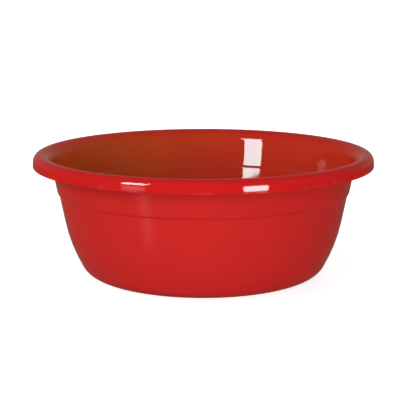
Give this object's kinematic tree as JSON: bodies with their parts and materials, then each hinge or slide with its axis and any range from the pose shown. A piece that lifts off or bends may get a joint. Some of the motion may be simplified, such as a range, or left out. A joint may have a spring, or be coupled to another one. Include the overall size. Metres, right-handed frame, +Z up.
{
  "type": "washing up bowl",
  "caption": "Round open plastic bowl for washing dishes, with curved sides, a stacking ledge, a rolled carrying rim and a flat standing base.",
  "frame": {"origin": "centre of the standing base, at the level of the surface that the bowl stands on", "axes": "+Z up along the bowl's axis; the bowl is round, so +X and +Y are any two level directions at right angles"},
  "size_m": [0.3599, 0.36, 0.1295],
  "materials": {
    "bowl_plastic": "glossy red moulded polypropylene"
  },
  "bodies": {
    "root": {"bowl": "bowl_plastic"}
  },
  "joints": []
}
